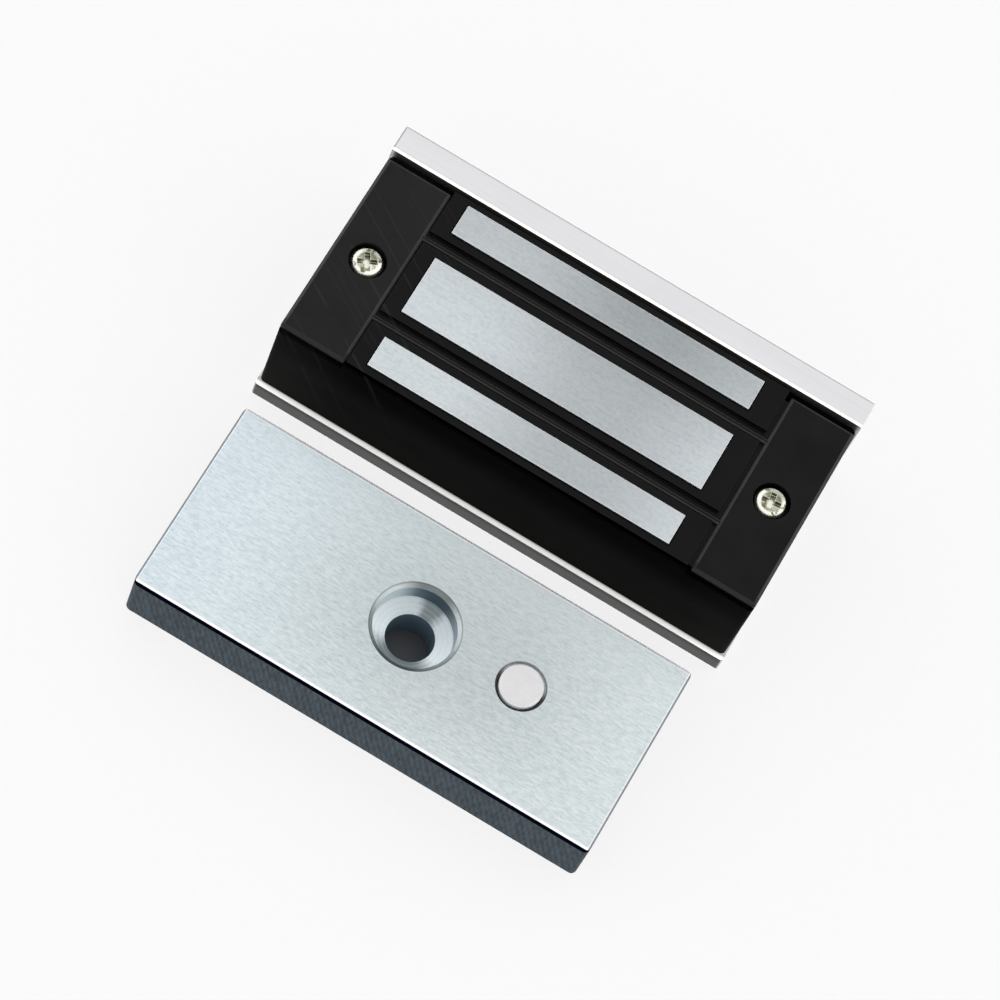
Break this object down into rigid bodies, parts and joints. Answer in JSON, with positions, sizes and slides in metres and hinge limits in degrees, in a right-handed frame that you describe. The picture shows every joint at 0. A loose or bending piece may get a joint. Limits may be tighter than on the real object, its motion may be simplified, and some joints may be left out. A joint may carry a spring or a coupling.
{
  "type": "magnetic door lock",
  "caption": "Small electromagnetic door lock: an L-shaped rail holding a coil case with three-bar pole faces, and a brushed armature plate with a bolt recess and spring release plunger.",
  "frame": {"origin": "centre of the housing rail's underside", "axes": "+X along the rail, +Y towards the rail's tall wall, +Z out of the pole faces"},
  "size_m": [0.08, 0.0793, 0.0225],
  "materials": {
    "clear_anodised_aluminium": "fine satin extrusion",
    "case_black_plastic": "smooth moulded",
    "frame_black_plastic": "satin moulded, scuffed",
    "ground_core_steel": "ground pole faces",
    "rivet_steel": "drawn",
    "bobbin_nylon": "moulded",
    "enamelled_copper": "enamelled wire",
    "polyester_tape": "glossy tape",
    "epoxy_potting": "cast resin",
    "board_laminate": "solder mask",
    "varistor_coating": "dipped coating",
    "diode_body": "moulded",
    "tinned_pins": "tinned",
    "lead_wire": "enamelled wire",
    "grommet_rubber": "soft rubber",
    "screw_nickel": "nickel plated",
    "nickel_plated_steel": "brushed and plated",
    "plunger_plastic": "smooth",
    "bush_plastic": "moulded",
    "spring_steel": "drawn wire",
    "plug_steel": "turned"
  },
  "bodies": {
    "lock_body": {"housing_rail": "clear_anodised_aluminium", "coil_case": "case_black_plastic", "face_frame": "frame_black_plastic", "core_laminations": "ground_core_steel", "core_rivets": "rivet_steel", "coil_bobbin": "bobbin_nylon", "coil_winding": "enamelled_copper", "winding_tape": "polyester_tape", "potting_compound": "epoxy_potting", "circuit_board": "board_laminate", "surge_varistor": "varistor_coating", "flyback_diode": "diode_body", "terminal_pins": "tinned_pins", "coil_leads": "lead_wire", "cable_grommet": "grommet_rubber", "case_screw_left": "screw_nickel", "case_screw_right": "screw_nickel"},
    "armature": {"armature_plate": "nickel_plated_steel", "plunger_bush": "bush_plastic", "plunger_spring": "spring_steel", "plunger_plug": "plug_steel"},
    "plunger": {"release_plunger": "plunger_plastic"}
  },
  "joints": [
    {"name": "door_swing", "type": "hinge", "parent": "lock_body", "child": "armature", "pos_m": [0, -0.02248, 0.01695], "axis": [-1, 0, 0], "range_deg": [0, 180]},
    {"name": "plunger_travel", "type": "slide", "parent": "armature", "child": "plunger", "axis": [0, 0, -1], "range_m": [0, 0.0005], "stiffness_N_per_m": 1000, "springref_m": -0.0015, "deforming": ["plunger_spring"]}
  ]
}
